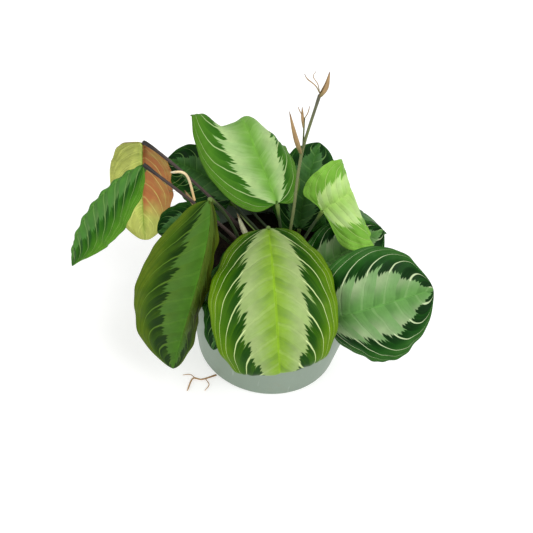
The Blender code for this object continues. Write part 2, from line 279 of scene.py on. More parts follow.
class Wire:
    """A value in a node tree. Arithmetic on it adds Math nodes."""

    def __init__(self, tree, socket):
        self.tree = tree
        self.socket = socket

    def math(self, operation, *others):
        return node(self.tree, "ShaderNodeMath", [self, *others], operation=operation)

    __add__ = __radd__ = partialmethod(math, "ADD")
    __sub__ = partialmethod(math, "SUBTRACT")
    __mul__ = __rmul__ = partialmethod(math, "MULTIPLY")
    __truediv__ = partialmethod(math, "DIVIDE")
    __pow__ = partialmethod(math, "POWER")
    __abs__ = partialmethod(math, "ABSOLUTE")
    fract = partialmethod(math, "FRACT")

    def __rsub__(self, other):
        return self.math("MULTIPLY_ADD", -1.0, other)

    def clipped(self):
        """Kept between 0 and 1."""
        return self.math("MAXIMUM", 0.0).math("MINIMUM", 1.0)

    def rise(self, low, high, start=0.0, end=1.0):
        """0 below low, 1 above high, and smooth between."""
        return node(self.tree, "ShaderNodeMapRange", [self, low, high, start, end],
                    interpolation_type="SMOOTHSTEP")

    def fall(self, low, high):
        """1 below low, 0 above high, and smooth between."""
        return self.rise(low, high, 1.0, 0.0)


def node(tree, kind, inputs=(), output=0, **settings):
    """Adds a node, fills its inputs (by number or name), and gives back one of its outputs."""
    made = tree.nodes.new(kind)
    for key, value in settings.items():
        setattr(made, key, value)
    for key, value in inputs.items() if isinstance(inputs, dict) else enumerate(inputs):
        if isinstance(value, Wire):
            tree.links.new(value.socket, made.inputs[key])
        elif value is not None:
            made.inputs[key].default_value = value
    return Wire(tree, made.outputs[output])


def tree_of(*values):
    """The tree of the first wire among some values."""
    return next(value.tree for value in values if isinstance(value, Wire))


def mixed(factor, first, second, blend="MIX"):
    """Two colours mixed by a factor."""
    return node(tree_of(factor, first, second), "ShaderNodeMix",
                {0: factor, 6: first, 7: second}, 2, data_type="RGBA", blend_type=blend)


def joined(x, y, z):
    """A vector of three values."""
    return node(tree_of(x, y, z), "ShaderNodeCombineXYZ", [x, y, z])


def shaded(colour, light):
    """A colour made lighter or darker by a factor."""
    return mixed(1.0, colour, joined(light, light, light), "MULTIPLY")


def parts(vector):
    """The X, Y and Z of a vector."""
    split = node(vector.tree, "ShaderNodeSeparateXYZ", [vector])
    return [Wire(vector.tree, socket) for socket in split.socket.node.outputs]


def stretched(place, scales):
    """A place scaled by a factor of its own each way, for grain that runs one way."""
    return node(place.tree, "ShaderNodeVectorMath", [place, scales], operation="MULTIPLY")


def grain(vector, scale, detail=3.0, roughness=0.55):
    """Noise about 0.5."""
    return node(vector.tree, "ShaderNodeTexNoise",
                {"Vector": vector, "Scale": scale, "Detail": detail, "Roughness": roughness})


def object_place(tree):
    """The place on the plant."""
    return node(tree, "ShaderNodeTexCoord", output="Object")


def plug(shader, colour, roughness, height, depth):
    """Wires a colour, a roughness and a bump of a depth in metres to a shader."""
    tree = colour.tree
    tree.links.new(colour.socket, shader.inputs["Base Color"])
    tree.links.new(roughness.socket, shader.inputs["Roughness"])
    bump = node(tree, "ShaderNodeBump", {"Strength": 1.0, "Distance": depth, "Height": height})
    tree.links.new(bump.socket, shader.inputs["Normal"])


def new_material(name, **constants):
    """A material, its tree and its shader, with the shader's constant inputs set."""
    material = bpy.data.materials.new(name)
    material.use_nodes = True
    tree = material.node_tree
    shader = tree.nodes["Principled BSDF"]
    for key, value in constants.items():
        shader.inputs[key.replace("_", " ")].default_value = value
    return material, tree, shader


def given_inputs(group, **kinds):
    """Names a group's inputs, listed by kind, and gives a wire for each."""
    for kind, names in kinds.items():
        for name in names:
            group.interface.new_socket(name, in_out="INPUT", socket_type=f"NodeSocket{kind}")
    made = group.nodes.new("NodeGroupInput")
    return {socket.name: Wire(group, socket) for socket in made.outputs if socket.name}


def finish_tree(group, shape, material):
    """Realises the shape, gives it its material and sends it out."""
    group.interface.new_socket("Geometry", in_out="OUTPUT", socket_type="NodeSocketGeometry")
    shape = node(group, "GeometryNodeRealizeInstances", [shape])
    shape = node(group, "GeometryNodeSetMaterial", {"Geometry": shape, "Material": material})
    end = group.nodes.new("NodeGroupOutput")
    group.links.new(shape.socket, end.inputs[0])
    return group


def grow(name, group, start, **sizes):
    """Runs a tree on a start mesh and keeps the mesh it gives."""
    piece = add_object(name, start)
    modifier = piece.modifiers.new("shape", "NODES")
    modifier.node_group = group
    for socket in group.interface.items_tree:
        if socket.in_out == "INPUT" and socket.name in sizes:
            modifier[socket.identifier] = sizes[socket.name]
    bpy.context.view_layer.update()
    graph = bpy.context.evaluated_depsgraph_get()
    mesh = bpy.data.meshes.new_from_object(piece.evaluated_get(graph))
    piece.modifiers.clear()
    piece.data = mesh
    mesh.name = name
    return piece


def add_object(name, data):
    """An object in the scene."""
    made = bpy.data.objects.new(name, data)
    bpy.context.scene.collection.objects.link(made)
    return made


def line_mesh(name, points):
    """A mesh of one line through points in millimetres."""
    mesh = bpy.data.meshes.new(name)
    edges = [(k, k + 1) for k in range(len(points) - 1)]
    mesh.from_pydata([[MM * float(c) for c in p] for p in points], edges, [])
    return mesh


# ---- camera, light and floor

def make_view():
    data = bpy.data.cameras.new("camera")
    data.lens = LENS
    data.clip_start = 0.01
    camera = add_object("camera", data)
    camera.matrix_world = (
        Matrix.Translation(Vector(VIEW_CENTRE) * MM)
        @ Matrix.Rotation(math.radians(90 - VIEW_DOWN), 4, "X")
        @ Matrix.Rotation(math.radians(VIEW_LEAN), 4, "Z")
        @ Matrix.Translation((0, 0, VIEW_DISTANCE)))
    bpy.context.scene.camera = camera


def make_lamp(name, place, size, power):
    data = bpy.data.lights.new(name, "AREA")
    data.shape = "DISK"
    data.size = size
    data.energy = power
    lamp = add_object(name, data)
    lamp.location = place
    aim = Vector(LAMP_TARGET) - Vector(place)
    lamp.rotation_euler = aim.to_track_quat("-Z", "Y").to_euler()


def make_studio():
    scene = bpy.context.scene
    scene.view_settings.view_transform = "Standard"
    world = bpy.data.worlds.new("studio")
    world.use_nodes = True
    background = world.node_tree.nodes["Background"]
    background.inputs["Color"].default_value = (1, 1, 1, 1)
    background.inputs["Strength"].default_value = SKY_STRENGTH
    scene.world = world
    for name, (place, size, power) in LAMPS.items():
        make_lamp(name, place, size, power)
    floor_mesh = bpy.data.meshes.new("floor")
    corners = [(-1, -1), (1, -1), (1, 1), (-1, 1)]
    corners = [(x * FLOOR_REACH, y * FLOOR_REACH, 0) for x, y in corners]
    floor_mesh.from_pydata(corners, [], [(0, 1, 2, 3)])
    material, _, _ = new_material("floor_white", Roughness=0.9, Base_Color=FLOOR_GREY,
                                  Emission_Color=FLOOR_GLOW, Emission_Strength=GLOW_STRENGTH)
    floor_mesh.materials.append(material)
    add_object("floor", floor_mesh)


# ---- blade material

def sweep(across):
    """How far towards the tip a side vein has run by the time it is this far across the blade."""
    return 0.16 * across + 0.2 * across**3 + 0.3 * across**10


BLADE_COLOURS = ("rib", "band", "patch", "field", "margin", "vein", "second_side")
BLADE_NUMBERS = ("veins", "width", "second", "depth")
BLADE_STRENGTHS = ("rib_strength", "band_strength", "vein_strength")
BLADE_RESULTS = {"colour": "Color", "roughness": "Float", "height": "Float"}

# Under sides: shades of the under colour, how much lighter the veins are, and how strongly
# midrib, band and veins show.
UNDER_SHADES = {"patch": 0.86, "field": 0.9, "margin": 0.82}
UNDER_VEIN = 26
UNDER_SHOWN = (0.8, 0.5, 0.5)


def make_blade_pattern():
    """The group that colours a blade from its own map: across in U, stalk to tip in V."""
    group = bpy.data.node_groups.new("blade_pattern", "ShaderNodeTree")
    given = given_inputs(group, Color=BLADE_COLOURS, Float=BLADE_NUMBERS + BLADE_STRENGTHS)
    for name, kind in BLADE_RESULTS.items():
        group.interface.new_socket(name, in_out="OUTPUT", socket_type=f"NodeSocket{kind}")

    side_to_side, along, _ = parts(node(group, "ShaderNodeUVMap", uv_map="blade"))
    v = side_to_side * 2.0 - 1.0
    across = abs(v)
    second = v.rise(-0.01, 0.01)
    solid = object_place(group)
    wobble = grain(solid, 60.0, 2.0) - 0.5
    blotch = grain(solid, 160.0, 4.0) - 0.5

    # Side veins: a line in the middle of each step. The two halves are half a step apart.
    step = (along - sweep(across)) * given["veins"] + second * 0.5 + wobble * VEIN_WOBBLE
    saw = step.fract()
    from_vein = abs(saw - 0.5)
    vein_width = VEIN_WIDTH - VEIN_THINNING * across
    vein = (from_vein / vein_width).fall(0.35, 1.0) * across.fall(0.9, 1.0)

    # Streaks run with the side veins.
    streak = joined(step * 12.0, across * 2.5, second * 7.0)
    streak = grain(streak, 1.0, 3.0, 0.6) - 0.5
    tooth = grain(joined(step * 5.0, second * 9.0, 0.0), 1.0, 2.0) - 0.5
    comb = abs((step * TEETH_PER_VEIN + 2.0 * tooth).fract() - 0.5) - 0.25

    # The feathered band beside the midrib narrows towards both ends of the blade. Its edge swings
    # with the side veins and is cut into teeth of uneven length.
    ends = 1.0 - BAND_TIP_TAPER * along.rise(0.6, 1.0) - BAND_FOOT_TAPER * along.fall(0.0, 0.15)
    edge = across - given["width"] * ends - BAND_SWING * (saw - 0.5)
    edge = edge - TOOTH_LENGTH * comb * (1.0 + 2.0 * tooth) - TOOTH_CHANCE * tooth
    band = edge.fall(-0.02, 0.02) * given["band_strength"]

    # Past the band: dark patches, then the field, then the margin.
    outwards = (across - given["width"]) / (1.0 - given["width"])
    field = mixed(outwards.rise(0.1, 0.75), given["patch"], given["field"])
    field = mixed((outwards + wobble * 0.8).rise(0.35, 1.0), field, given["margin"])
    # Painted light and shade of the puckered surface: on one side of each step between side veins
    # the dark patches turn towards the field colour.
    field = mixed(0.55 * saw.rise(0.55, 1.0), field, given["field"])
    field = mixed((streak * 0.8).clipped(), field, given["margin"])

    # Inside the band: the rib's colour next to the midrib, and vein colour between the veins. The
    # field colour and the vein colour, laid on one side of each step between the veins, are
    # painted shade and painted light of the puckered surface.
    rib_zone = (across + 0.3 * streak).fall(0.0, 0.8 * given["width"])
    lit = mixed(rib_zone * 0.85, given["band"], given["rib"])
    lit = mixed((0.32 * saw.fall(0.0, 0.6) + streak * 0.9).clipped(), lit, given["field"])
    lit = mixed((0.55 * across.rise(0.1, 0.5) * saw.fall(0.1, 0.9)).clipped(), lit, given["vein"])
    colour = mixed(band, field, lit)
    tinted = (given["second"] * (second * 2.0 - 1.0)).clipped() * along.fall(*SECOND_END)
    tinted = (tinted * (1.0 + 1.6 * wobble + 0.8 * streak)).clipped()
    colour = mixed(tinted, colour, given["second_side"])

    rib_line = across.fall(0.008, 0.03) * along.fall(0.9, 1.0)
    colour = mixed(rib_line * given["rib_strength"], colour, given["rib"])
    light = (given["depth"] + 0.1 * rib_line) * (1.0 + blotch * 0.5 + 0.3 * streak)
    colour = shaded(colour, light)

    vein_shown = vein * given["vein_strength"] * (0.9 - 0.82 * band)
    colour = mixed(vein_shown, colour, given["vein"])

    height = streak * 0.5 - vein * 0.8 + blotch * 0.25
    roughness = 0.48 + 0.12 * streak + 0.06 * band + 0.15 * blotch
    end = group.nodes.new("NodeGroupOutput")
    for name, value in zip(BLADE_RESULTS, (colour, roughness, height)):
        group.links.new(value.socket, end.inputs[name])
    return group


def blade_material(name, look, pattern):
    """A blade's material: the shared pattern with one side's colours and numbers."""
    material, tree, shader = new_material(name, Specular_IOR_Level=0.08)
    made = tree.nodes.new("ShaderNodeGroup")
    made.node_tree = pattern
    for key in BLADE_COLOURS:
        made.inputs[key].default_value = paint(*look.get(key, look["field"]))
    for key in BLADE_NUMBERS:
        made.inputs[key].default_value = look.get(key, 0.0)
    for key, strength in zip(BLADE_STRENGTHS, look["shown"]):
        made.inputs[key].default_value = strength
    outputs = [Wire(tree, made.outputs[key]) for key in BLADE_RESULTS]
    plug(shader, *outputs, BUMP_BLADE)
    return material


def make_blade_materials():
    """An upper and an under material for each finish."""
    pattern = make_blade_pattern()
    made = {}
    for name, look in FINISHES.items():
        pale = look["under"]
        shades = {key: tuple(int(c * share) for c in pale) for key, share in UNDER_SHADES.items()}
        below = {
            "second_side": pale, **look, **shades, "band": pale,
            "vein": tuple(min(255, c + UNDER_VEIN) for c in pale),
            "depth": look["under_depth"], "shown": UNDER_SHOWN,
        }
        made[name] = (blade_material(f"{name}_leaf_upper", look, pattern),
                      blade_material(f"{name}_leaf_under", below, pattern))
    return made


# ---- blades

def unit(vectors):
    """The same directions, each one long."""
    return vectors / np.linalg.norm(vectors, axis=-1, keepdims=True)


def bezier(control, count):
    """Points along the cubic curve of four control points."""
    t = np.linspace(0, 1, count)[:, None]
    a, b, c, d = np.array(control, float)
    return (1 - t) ** 3 * a + 3 * (1 - t) ** 2 * t * b + 3 * (1 - t) * t**2 * c + t**3 * d


def blade_surface(leaf, u, v):
    """Points of a blade's upper surface, in millimetres, at u from stalk to tip and v across."""
    rib = bezier(leaf["rib"], 401)
    run = np.r_[0, np.cumsum(np.linalg.norm(np.diff(rib, axis=0), axis=1))]
    length = run[-1]
    ahead = unit(np.gradient(rib, axis=0))
    across = abs(v)
    right = v > 0
    skew, fullness = leaf.get("outline", (0.92, 0.55))
    blunt = 1 - TIP_TAPER * np.clip((u - TIP_START) / (1 - TIP_START), 0, 1) ** 2
    half = np.where(right, leaf["half_widths"][1], leaf["half_widths"][0])
    half = half * np.sin(np.pi * u**skew) ** fullness * blunt
    reach = u / LOBE_REACH
    y = length * u - leaf.get("lobe", 5) * reach * np.exp(1 - reach) * across**2

    def sided(key, usual=(0, 0)):
        """A leaf's angle on the half that each point lies on."""
        first, second = leaf.get(key, usual)
        return np.radians(np.where(right, second, first))

    fold = sided("fold") + sided("fold_tip") * np.clip((u - FOLD_TIP) / (1 - FOLD_TIP), 0, 1)
    x = np.zeros_like(u)
    z = np.zeros_like(u)
    for k in range(CURL_STEPS):
        part = (k + 0.5) / CURL_STEPS * across
        turn = fold * np.clip(FOLD_SHARPNESS * part, 0, 1) + sided("curl", CURL) * part
        x += np.cos(turn) * half * across / CURL_STEPS
        z += np.sin(turn) * half * across / CURL_STEPS
    x = np.where(right, x, -x)

    if "bend" in leaf:
        line, start, radius, most = leaf["bend"]
        c, s = math.cos(math.radians(line)), math.sin(math.radians(line))
        limit = abs(math.radians(most))
        past = np.clip(y * c + x * s - start, 0, None)
        turn = np.minimum(past / radius, limit)
        rest = np.clip(past - radius * limit, 0, None)
        shift = radius * np.sin(turn) + rest * np.cos(turn) - past
        z += math.copysign(1, most) * (radius * (1 - np.cos(turn)) + rest * np.sin(turn))
        y += shift * c
        x += shift * s

    on_rib = np.clip(y, 0, length)
    centre = np.stack([np.interp(on_rib, run, rib[:, k]) for k in range(3)], -1)
    tangent = unit(np.stack([np.interp(on_rib, run, ahead[:, k]) for k in range(3)], -1))
    sideways = unit(np.cross(np.array(leaf.get("face", FACE), float), rib[-1] - rib[0]))
    side = unit(sideways - (tangent @ sideways)[..., None] * tangent)
    normal = np.cross(tangent, side)
    points = centre + tangent * (y - on_rib)[..., None]
    points = points + side * x[..., None] + normal * z[..., None]
    return points, half


def blade_relief(leaf, u, v, half, seed):
    """How far the surface stands out in millimetres: quilted, grooved at the midrib and wavy."""
    across = abs(v)
    step = (u - sweep(across)) * FINISHES[leaf["finish"]]["veins"] + np.where(v > 0, 0.5, 0)
    from_vein = abs(step % 1 - 0.5)
    ends = np.clip(u / RELIEF_FADE, 0, 1) * np.clip((1 - u) / RELIEF_FADE, 0, 1)
    quilt = leaf.get("quilt", QUILT) * (np.cos(np.pi * (1 - 2 * from_vein)) * 0.5)
    quilt = quilt * (1 - across**6) * ends
    groove = -GROOVE_DEPTH * np.exp(-((across * half / GROOVE_WIDTH) ** 2))
    groove = groove * np.clip((1 - u) / GROOVE_FADE, 0, 1)
    phase = 2 * np.pi * (WAVES_ALONG * u + 0.37 * seed) + np.where(v > 0, 1.9, 0)
    wave = np.sin(phase) + 0.5 * np.sin(2.3 * phase + seed)
    wave = leaf.get("wave", WAVE) * across**3 * ends * wave
    swell = 0.0
    for at_u, at_v, wide_u, wide_v, height in leaf.get("swells", ()):
        swell = swell + height * np.exp(-((u - at_u) / wide_u) ** 2 - ((v - at_v) / wide_v) ** 2)
    return quilt + groove + wave + swell


def close_sheet(name, upper, under, u, v, materials):
    """A closed shell between two grids of points, with its map across in U and along in V."""
    points = np.vstack([upper.reshape(-1, 3), under.reshape(-1, 3)]) * MM
    count = len(points) // 2
    place = np.stack([(v + 1) / 2, u], -1).reshape(-1, 2)
    corner = np.arange(count).reshape(u.shape)
    quads = [corner[:-1, :-1], corner[:-1, 1:], corner[1:, 1:], corner[1:, :-1]]
    quads = np.stack(quads, -1).reshape(-1, 4)
    rim = [*corner[0], *corner[1:, -1], *corner[-1, -2::-1], *corner[-2:0:-1, 0]]
    edge = np.array([[a, b, b + count, a + count] for a, b in zip(rim, rim[1:] + rim[:1])])
    faces = np.vstack([quads, quads[:, ::-1] + count, edge[:, ::-1]])
    mesh = bpy.data.meshes.new(name)
    mesh.from_pydata(points.tolist(), [], faces.tolist())
    layer = mesh.uv_layers.new(name="blade")
    layer.data.foreach_set("uv", place[faces.reshape(-1) % count].reshape(-1))
    for material in materials:
        mesh.materials.append(material)
    below = np.zeros(len(faces), np.int32)
    below[len(quads):2 * len(quads)] = 1
    mesh.polygons.foreach_set("material_index", below)
    shape = bmesh.new()
    shape.from_mesh(mesh)
    bmesh.ops.recalc_face_normals(shape, faces=shape.faces)
    shape.to_mesh(mesh)
    shape.free()
    mesh.shade_smooth()
    return add_object(name, mesh)


def make_blade(name, leaf, materials, seed):
    """A blade with its relief on top and the midrib's keel below."""
    along = (1 - np.cos(np.pi * np.linspace(FIRST_ROW, 1 - FIRST_ROW, ROWS + 1))) / 2
    u, v = np.meshgrid(along, np.linspace(-1, 1, 2 * COLUMNS + 1), indexing="ij")
    upper, half = blade_surface(leaf, u, v)
    down = unit(np.cross(np.gradient(upper, axis=1), np.gradient(upper, axis=0)))
    upper = upper - down * blade_relief(leaf, u, v, half, seed)[..., None]
    keel = KEEL_DEPTH * np.exp(-((abs(v) * half) ** 2))
    keel = keel * np.clip((1 - u) / KEEL_FADE, 0, 1)
    return close_sheet(name, upper, upper + down * (BLADE + keel)[..., None], u, v, materials)


def settle(piece, slot, *nodes):
    """Ties a finished piece to the plant and hides the CAD nodes it stands for. Its slot is not
    used.
    """
    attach(piece, "root")
    if nodes:
        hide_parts(*nodes)


def make_leaves():
    materials = make_blade_materials()
    for seed, (name, leaf) in enumerate(LEAVES.items()):
        new_name = name.replace("leaf", "blade", 1)
        blade = make_blade(new_name, leaf, materials[leaf["finish"]], seed)
        settle(blade, leaf.get("slot", "green_leaf"), name)


# ---- stalks

def make_tube_tree():
    """A round stem along a line: thicker in its sheath, slender above, swollen at the top."""
    group = bpy.data.node_groups.new("stem_along_line", "GeometryNodeTree")
    given = given_inputs(
        group, Geometry=["Line"], Int=["Sides"], Material=["Material"],
        Float=["Sheath radius", "Stem radius", "Top radius", "Sheath end", "Swelling start"])
    line = node(group, "GeometryNodeMeshToCurve", [given["Line"]])
    along = node(group, "GeometryNodeSplineParameter")
    sheath = along.fall(0.0, given["Sheath end"])
    swelling = along.rise(given["Swelling start"], 0.99)
    radius = given["Stem radius"] + (given["Sheath radius"] - given["Stem radius"]) * sheath
    radius = radius + (given["Top radius"] - given["Stem radius"]) * swelling
    place = node(group, "GeometryNodeInputPosition")
    lumps = grain(place, 260.0, 2.0) - 0.5
    radius = radius * (1.0 + STEM_LUMPS * lumps)
    line = node(group, "GeometryNodeStoreNamedAttribute",
                {"Geometry": line, "Name": "along", "Value": along}, data_type="FLOAT")
    ring = node(group, "GeometryNodeCurvePrimitiveCircle",
                {"Resolution": given["Sides"], "Radius": 1.0})
    tube = node(group, "GeometryNodeCurveToMesh",
                {"Curve": line, "Profile Curve": ring, "Scale": radius, "Fill Caps": True})
    tube = node(group, "GeometryNodeSetShadeSmooth", [tube])
    return finish_tree(group, tube, given["Material"])


def stem_material(name, foot, middle, top):
    """A stem whose colour runs from foot to top, with fine lengthwise streaks and flecks."""
    material, tree, shader = new_material(name, Specular_IOR_Level=0.3)
    along = node(tree, "ShaderNodeAttribute", output=2, attribute_name="along")
    place = object_place(tree)
    streak = grain(stretched(place, (900.0, 900.0, 90.0)), 1.0, 3.0) - 0.5
    fleck = grain(place, 700.0, 4.0, 0.7) - 0.5
    patch = grain(place, 90.0, 2.0) - 0.5
    colour = mixed((along + patch * 0.3).rise(0.08, 0.45), paint(*foot), paint(*middle))
    colour = mixed((along + patch * 0.1).rise(0.84, 0.97), colour, paint(*top))
    colour = shaded(colour, 1.0 + 0.7 * streak + 0.35 * fleck)
    plug(shader, colour, 0.5 + 0.2 * fleck, streak + 0.4 * fleck, 0.0002)
    return material


# Stem finishes: colours at the foot, the middle and the top.
STEM_COLOURS = {
    "green_stem": ((52, 48, 34), (46, 60, 32), (86, 108, 46)),
    "purple_stem": ((52, 42, 36), (62, 50, 46), (34, 30, 26)),
    "tan_stem": ((70, 84, 40), (96, 118, 56), (176, 150, 96)),
    "flower_stem": ((60, 72, 38), (96, 104, 62), (84, 84, 66)),
    "dry_stem": ((214, 180, 126), (226, 204, 160), (236, 222, 190)),
    "root_skin": ((150, 116, 76), (176, 140, 98), (188, 156, 116)),
    "husk": ((126, 112, 72), (150, 122, 84), (108, 78, 50)),
    "pale_husk": ((120, 124, 84), (196, 196, 160), (150, 132, 92)),
}


def stalk_route(leaf, count):
    """A leaf stalk's middle line, from just inside the soil to just short of the blade."""
    base = np.array(leaf["rib"][0], float)
    ahead = unit(np.array(leaf["rib"][1], float) - base)
    foot = np.array([*leaf["root"], SOIL_TOP + GAP], float)
    rise = leaf.get("rise", RISE) * np.linalg.norm(base - foot)
    neck = leaf.get("neck_length", NECK)
    arrival = -unit(np.array(leaf.get("neck", -ahead - [0, 0, 1]), float))
    end = base - 0.4 * SOCKET * arrival
    below = foot - [0, 0, 1.5]
    return bezier([below, foot + [0, 0, rise], base - neck * arrival, end], count)


def smooth_route(points, per_span=10):
    """A smooth curve through the given points."""
    p = [np.array(q, float) for q in points]
    p = [2 * p[0] - p[1], *p, 2 * p[-1] - p[-2]]
    route = []
    for a, b, c, d in zip(p, p[1:], p[2:], p[3:]):
        for k in range(per_span):
            t = k / per_span
            route.append(0.5 * (2 * b + (c - a) * t + (2 * a - 5 * b + 4 * c - d) * t**2
                                + (3 * b - a - 3 * c + d) * t**3))
    return [*route, p[-2]]


def make_stem(name, tree, route, radii, ends, material, slot, *nodes, sides=14):
    """A stem along a route in millimetres: radii at its sheath, middle and top, and where the
    sheath ends and the top's swelling starts."""
    sheath, stem, top = (MM * r for r in radii)
    piece = grow(name, tree, line_mesh(name, route), **{
        "Sheath radius": sheath, "Stem radius": stem, "Top radius": top,
        "Sheath end": ends[0], "Swelling start": ends[1], "Sides": sides, "Material": material,
    })
    settle(piece, slot, *nodes)


def make_leaf_stalks(tree, finishes):
    for name, leaf in LEAVES.items():
        new_name, stalk = (name.replace("leaf", word, 1) for word in ("petiole", "stalk"))
        make_stem(new_name, tree, stalk_route(leaf, PETIOLE_POINTS), PETIOLE_RADII, PETIOLE_ENDS,
                  finishes[leaf.get("stem", "green_stem")], "leaf_stalk", stalk)


# The flower stalk, the dry stem and the stray root: route, radii, finish, slot and CAD node.
FLOWER_STALK = [(6, -2, SOIL_TOP + GAP), (4, -7, 98), (4, -3, 124), (4, 15, 151), (9, 26, 185)]
STEMS = {
    "flower_stem": (FLOWER_STALK, (1.3, 0.9, 1.0), "flower_stem", "flower_stalk", "flower_stalk"),
    "flower_branch": (
        [(4.4, 16, 151.6), (3.4, 21, 161), (2.6, 24, 169)],
        (0.7, 0.5, 0.55), "flower_stem", "flower_stalk", "flower_side_stalk"),
    "bent_dry_stem": (
        [(-54.6, 2.2, 115), (-59, 6, 127), (-63, 6, 132), (-70, 8, 129)],
        (0.75, 0.75, 0.5), "dry_stem", "dry_stem", "dry_stem"),
    "stray_root_piece": (
        [(-29.4, -36.6, 1.2), (-38, -42, 1.6), (-44, -42, 1.0), (-46, -52, 0.9)],
        (0.6, 0.5, 0.3), "root_skin", "root", "stray_root"),
}
STEM_ENDS = (0.3, 0.92)
STEM_STEPS = 16

# Fine threads with no CAD node, by finish and slot: their routes and radii.
THREADS = {
    ("husk", "dry_bract"): {
        "flower_thread_1": ([(9, 26, 186), (6, 27, 190), (1, 28, 193), (-1, 28, 196)], 0.34),
        "flower_thread_2": ([(9, 26, 186), (7, 27.5, 191), (4, 28, 195), (5, 28, 199)], 0.25),
        "flower_thread_3": ([(2.6, 24, 169), (0, 25, 172), (-2, 26, 175)], 0.3),
        "flower_thread_4": ([(2.6, 24, 169), (4, 24, 173), (4.5, 24, 178)], 0.3),
    },
    ("tan_stem", "dry_stem"): {
        "curled_thread_1": ([(-62, 6, 131), (-66, 4, 126), (-72, 5, 122), (-76, 7, 124)], 0.16),
        "curled_thread_2": ([(-60, 6, 128), (-66, 3, 122), (-70, 4, 118), (-66, 6, 116)], 0.14),
    },
    ("tan_stem", "leaf_stalk"): {
        "yellow_thread": ([(-27, 6, 105), (-22, 4, 101), (-15.5, 2, 96)], 0.45),
    },
    ("root_skin", "root"): {
        "rootlet_1": ([(-36, -41, 1.4), (-33, -45, 1.0), (-35, -50, 0.6)], 0.3),
        "rootlet_2": ([(-42, -42, 1.1), (-46, -39, 0.9), (-51, -40, 0.6)], 0.28),
    },
}
THREAD_ENDS = (0.3, 0.7)
THREAD_TOP = 0.6
THREAD_SIDES = 8


def make_stems(tree, finishes):
    for name, (points, radii, finish, slot, replaced) in STEMS.items():
        make_stem(name, tree, smooth_route(points, STEM_STEPS), radii, STEM_ENDS,
                  finishes[finish], slot, replaced)
    for (finish, slot), threads in THREADS.items():
        for name, (points, radius) in threads.items():
            make_stem(name, tree, smooth_route(points), (radius, radius, THREAD_TOP * radius),
                      THREAD_ENDS, finishes[finish], slot, sides=THREAD_SIDES)


# Cupped pointed husks: middle line, half width, the way the open side faces, finish, slot and,
# where it has one, CAD node.
HUSKS = {
    "husk_lower": ([(3.4, 14, 152), (-1, 13, 164), (-6.5, 13, 181)], 1.5, (1, 1, 0),
                   "husk", "dry_bract", "bract_lower"),
    "husk_top": ([(9, 26, 184), (11.5, 27, 191), (12.4, 28, 200)], 1.9, (-1, 0, 0.3),
                 "husk", "dry_bract", "bract_top"),
    "husk_side": ([(3.0, 22, 164), (1.6, 25, 170), (0.4, 27, 175)], 1.1, (1, 0, 0),
                  "husk", "dry_bract"),
    "sheath_pale": ([(-18, 6, 84), (-23, 5, 92), (-29, 8, 104)], 1.9, (0, 1, -1),
                    "pale_husk", "leaf_stalk"),
    "sheath_dark": ([(-52, 6, 104), (-57, 8, 109), (-62, 10, 115)], 1.3, (0, 1, 0),
                    "husk", "leaf_stalk"),
}
HUSK_ROWS = 41
HUSK_COLUMNS = 17
HUSK_STEPS = 20
HUSK_WRAP = 2.0
HUSK_INNER = 0.72

# Sheaths round the crown: their number, the seed that scatters them, and the ranges of their
# turn, distance from the middle, height and half width.
CROWN_SHEATHS = 12
CROWN_SEED = 4
CROWN_TURN = (-0.2, 0.2)
CROWN_REACH = (6, 17)
CROWN_HEIGHT = (14, 26)
CROWN_WIDTH = (1.6, 2.4)
CROWN_FINISHES = ["husk", "green_stem", "pale_husk"]


def make_husk(name, points, width, opening, material):
    """A thin cupped shell that closes to a point at both ends of its middle line."""
    t = np.linspace(0, 1, HUSK_ROWS)
    middle = np.array(smooth_route(points, HUSK_STEPS))
    middle = middle[np.linspace(0, len(middle) - 1, HUSK_ROWS).round().astype(int)]
    ahead = unit(np.gradient(middle, axis=0))
    open_way = np.array(opening, float)
    open_way = unit(open_way - (ahead @ open_way)[:, None] * ahead)
    side = np.cross(ahead, open_way)
    belly = np.sin(np.pi * np.clip(0.08 + 0.92 * t, 0, 1) ** 0.75)
    reach = width * np.clip(belly, 0, 1) ** 0.8 + 0.05
    v = np.linspace(-1, 1, HUSK_COLUMNS)
    turn = (np.pi + HUSK_WRAP * v)[None, :, None]
    rough = 1 + 0.06 * np.sin(9 * t + 4)[:, None, None] * np.cos(5 * v)[None, :, None]
    arc = np.cos(turn) * open_way[:, None] + np.sin(turn) * side[:, None]
    upper = middle[:, None] + reach[:, None, None] * arc * rough
    inner = middle[:, None] + (HUSK_INNER * reach[:, None, None] - 0.02) * arc * rough
    u, v = np.meshgrid(t, v, indexing="ij")
    piece = close_sheet(name, upper, inner, u, v, [material, material])
    along = piece.data.attributes.new("along", "FLOAT", "POINT")
    along.data.foreach_set("value", np.r_[u.reshape(-1), u.reshape(-1)].astype(np.float32))
    return piece


def make_husks(finishes):
    for name, (points, width, opening, finish, slot, *nodes) in HUSKS.items():
        settle(make_husk(name, points, width, opening, finishes[finish]), slot, *nodes)
    chance = random.Random(CROWN_SEED)
    for k in range(CROWN_SHEATHS):
        angle = 2 * math.pi * k / CROWN_SHEATHS + chance.uniform(*CROWN_TURN)
        reach = chance.uniform(*CROWN_REACH)
        foot = np.array([reach * math.cos(angle) - 2, reach * math.sin(angle) - 1, SOIL_TOP - 1])
        out = np.array([math.cos(angle), math.sin(angle), 0])
        tall = chance.uniform(*CROWN_HEIGHT)
        tip = foot + tall * 0.28 * out + [0, 0, tall]
        middle = foot + tall * 0.08 * out + [0, 0, tall * 0.5]
        width = chance.uniform(*CROWN_WIDTH)
        finish = finishes[chance.choice(CROWN_FINISHES)]
        husk = make_husk(f"crown_sheath_{k + 1}", [foot, middle, tip], width, -out, finish)
        settle(husk, "leaf_stalk")


# ---- pot and soil

